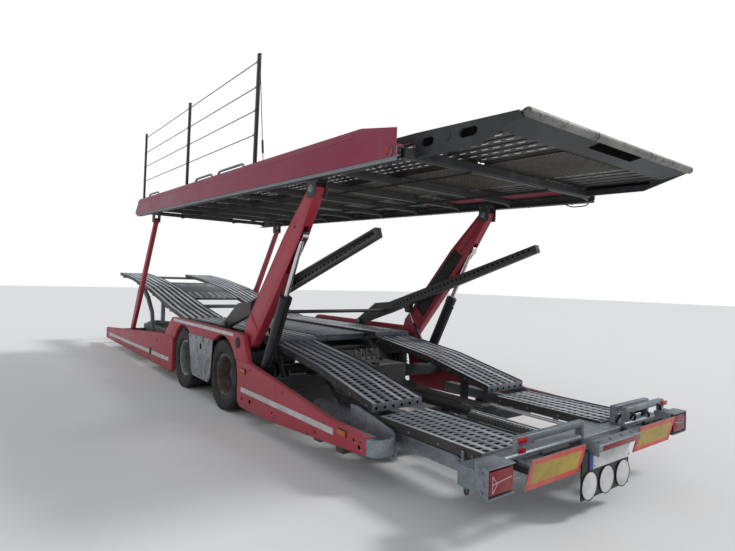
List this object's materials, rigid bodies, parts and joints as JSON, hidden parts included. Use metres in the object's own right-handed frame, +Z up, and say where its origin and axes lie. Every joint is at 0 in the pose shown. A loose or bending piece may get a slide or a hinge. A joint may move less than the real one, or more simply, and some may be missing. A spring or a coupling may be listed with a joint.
{
  "type": "two-deck car transporter trailer",
  "caption": "Two-deck car transporter trailer on close-coupled twin-wheeled axles, with a lifting upper deck, tilting tracks and a sliding tail.",
  "frame": {"origin": "middle of the whole trailer's footprint, on the floor", "axes": "+X forward to the towing eye, +Y to the left side, +Z up"},
  "size_m": [11.8903, 2.58, 4.0044],
  "materials": {
    "red_paint": "faded glossy red paint",
    "deck_red_paint": "dark red paint in shade",
    "grey_paint": "worn mid grey paint",
    "dark_paint": "dark grey chassis paint",
    "galvanised": "dull zinc",
    "track_steel": "worn grey sheet steel",
    "black_paint": "satin black paint",
    "chrome": "polished rod",
    "tyre": "dusty black rubber",
    "rim": "silver paint with brown rust",
    "red_lens": "red lamp lens",
    "lamp_body": "grey plastic",
    "board_yellow": "yellow reflective sheet with a red border",
    "plate_white": "white plate",
    "plate_dark": "black plate",
    "rope": "dark rope"
  },
  "bodies": {
    "frame": {"main_rails": "dark_paint", "cross_members": "dark_paint", "drawbar": "dark_paint", "axles": "dark_paint", "suspension": "dark_paint", "jack_leg": "galvanised", "front_sills": "red_paint", "arch_panels": "red_paint", "rear_sills": "red_paint", "guard_plates": "galvanised", "sill_brackets": "galvanised", "axle_deck_tracks": "track_steel", "axle_deck_cover": "track_steel", "mid_tracks": "track_steel", "hydraulic_unit": "dark_paint", "pivot_brackets": "dark_paint", "ram_barrel": "black_paint"},
    "front_platform": {"platform_tracks": "track_steel", "platform_frame": "track_steel"},
    "swing_frame": {"swing_frame": "grey_paint"},
    "strut_barrels": {"strut_barrels": "black_paint"},
    "strut_rods": {"strut_rods": "chrome"},
    "rear_extension": {"tail_tracks": "track_steel", "tail_beam": "galvanised", "ram_rod": "chrome", "tail_lamps": "red_lens", "marking_boards": "board_yellow", "tail_brackets": "plate_dark", "blank_plates": "plate_white", "light_bar": "galvanised"},
    "rear_arms": {"rear_arms": "red_paint"},
    "upper_deck": {"upper_deck_frame": "grey_paint", "deck_panels": "deck_red_paint", "deck_floors": "track_steel", "deck_tail": "dark_paint", "deck_lamps": "red_lens", "guard_posts": "black_paint", "guard_ropes": "rope"},
    "front_arms": {"front_arms": "red_paint"},
    "lift_barrels": {"lift_barrels": "black_paint"},
    "lift_rods": {"lift_rods": "chrome"},
    "wheels_front_left": {"tyres_front_left": "tyre", "rims_front_left": "rim"},
    "wheels_front_right": {"tyres_front_right": "tyre", "rims_front_right": "rim"},
    "wheels_rear_left": {"tyres_rear_left": "tyre", "rims_rear_left": "rim"},
    "wheels_rear_right": {"tyres_rear_right": "tyre", "rims_rear_right": "rim"}
  },
  "joints": [
    {"name": "roll_front_left", "type": "hinge", "parent": "frame", "child": "wheels_front_left", "pos_m": [-0.585, 0.985, 0.4], "axis": [0, 1, 0], "continuous": true},
    {"name": "roll_front_right", "type": "hinge", "parent": "frame", "child": "wheels_front_right", "pos_m": [-0.585, -0.985, 0.4], "axis": [0, 1, 0], "continuous": true},
    {"name": "roll_rear_left", "type": "hinge", "parent": "frame", "child": "wheels_rear_left", "pos_m": [-2.005, 0.985, 0.4], "axis": [0, 1, 0], "continuous": true},
    {"name": "roll_rear_right", "type": "hinge", "parent": "frame", "child": "wheels_rear_right", "pos_m": [-2.005, -0.985, 0.4], "axis": [0, 1, 0], "continuous": true},
    {"name": "deck_lift", "type": "hinge", "parent": "frame", "child": "rear_arms", "pos_m": [-2.505, 0, 0.82], "axis": [0, 1, 0], "range_deg": [-15, 25]},
    {"name": "deck_level", "type": "hinge", "parent": "rear_arms", "child": "upper_deck", "pos_m": [-3.805, 0, 2.3], "axis": [0, 1, 0], "range_deg": [-30, 20]},
    {"name": "front_arm_swing", "type": "hinge", "parent": "frame", "child": "front_arms", "pos_m": [2.895, 0, 0.45], "axis": [0, 1, 0], "range_deg": [-15, 25]},
    {"name": "lift_cylinder_swing", "type": "hinge", "parent": "frame", "child": "lift_barrels", "pos_m": [-2.895, 0, 0.57], "axis": [0, 1, 0], "range_deg": [-18, 28]},
    {"name": "lift_rod_slide", "type": "slide", "parent": "lift_barrels", "child": "lift_rods", "axis": [-0.4578, 0, 0.8891], "range_m": [-0.2, 0.3]},
    {"name": "platform_tilt", "type": "hinge", "parent": "frame", "child": "front_platform", "pos_m": [0.145, 0, 0.8], "axis": [0, -1, 0], "range_deg": [-6, 6]},
    {"name": "swing_frame_tilt", "type": "hinge", "parent": "frame", "child": "swing_frame", "pos_m": [-1.575, 0, 0.93], "axis": [0, 1, 0], "range_deg": [-13, 4]},
    {"name": "strut_swing", "type": "hinge", "parent": "frame", "child": "strut_barrels", "pos_m": [-2.935, 0, 0.69], "axis": [0, 1, 0], "range_deg": [-8, 20]},
    {"name": "strut_rod_slide", "type": "slide", "parent": "strut_barrels", "child": "strut_rods", "axis": [0.5589, 0, 0.8293], "range_m": [-0.26, 0.12]},
    {"name": "extension_slide", "type": "slide", "parent": "frame", "child": "rear_extension", "axis": [-1, 0, 0], "range_m": [-0.42, 0.25]}
  ],
  "couplings": [
    {"joint": "deck_level", "follows": "deck_lift", "ratio": -0.971},
    {"joint": "front_arm_swing", "follows": "deck_lift", "ratio": 0.765},
    {"joint": "lift_cylinder_swing", "follows": "deck_lift", "ratio": 0.944},
    {"joint": "lift_rod_slide", "follows": "deck_lift", "m_per_rad": 0.448},
    {"joint": "strut_swing", "follows": "swing_frame_tilt", "ratio": -1.274},
    {"joint": "strut_rod_slide", "follows": "swing_frame_tilt", "m_per_rad": 0.89}
  ]
}
